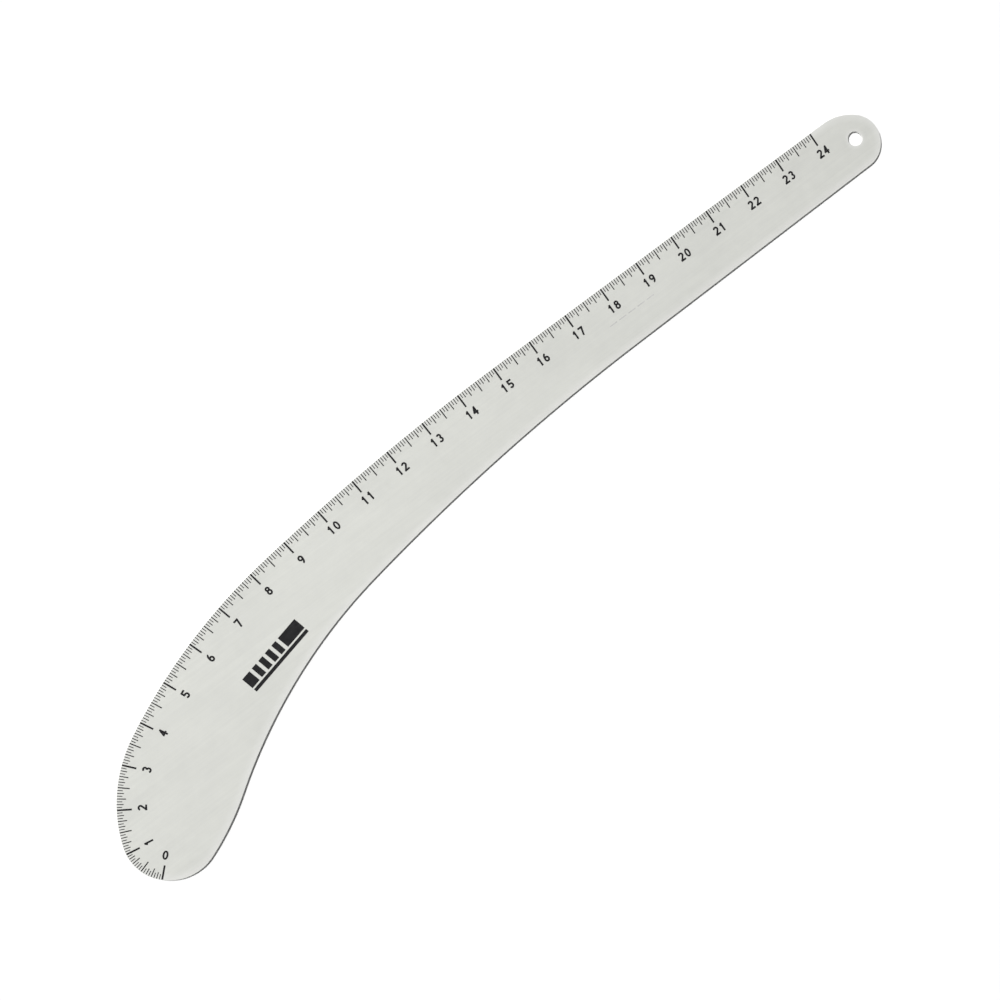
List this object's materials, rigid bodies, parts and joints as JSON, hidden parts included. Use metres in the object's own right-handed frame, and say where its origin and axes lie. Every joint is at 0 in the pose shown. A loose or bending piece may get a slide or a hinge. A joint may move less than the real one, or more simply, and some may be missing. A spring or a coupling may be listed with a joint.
{
  "type": "french curve",
  "caption": "Flat one-piece curved drafting rule with a rounded heel, a straight shank, a hanging hole and a printed inch scale along its outer edge.",
  "frame": {"origin": "middle of the outline's bounding box, on the back face that the curve lies on", "axes": "+X along the straight part of the graduated edge, from the heel to the tip with the hole; +Y out over the graduated edge; +Z out of the printed face"},
  "size_m": [0.5884, 0.1274, 0.0014],
  "materials": {
    "sheet": "fine satin, pale grey",
    "black_ink": "baked black printing ink, slightly glossy",
    "grey_ink": "thin grey printing ink"
  },
  "bodies": {
    "root": {"curve_blank": "sheet", "inch_marks": "black_ink", "half_inch_marks": "black_ink", "quarter_inch_marks": "black_ink", "eighth_inch_marks": "black_ink", "sixteenth_inch_marks": "black_ink", "numerals": "black_ink", "maker_panel": "black_ink", "caption_dashes": "grey_ink"}
  },
  "joints": []
}
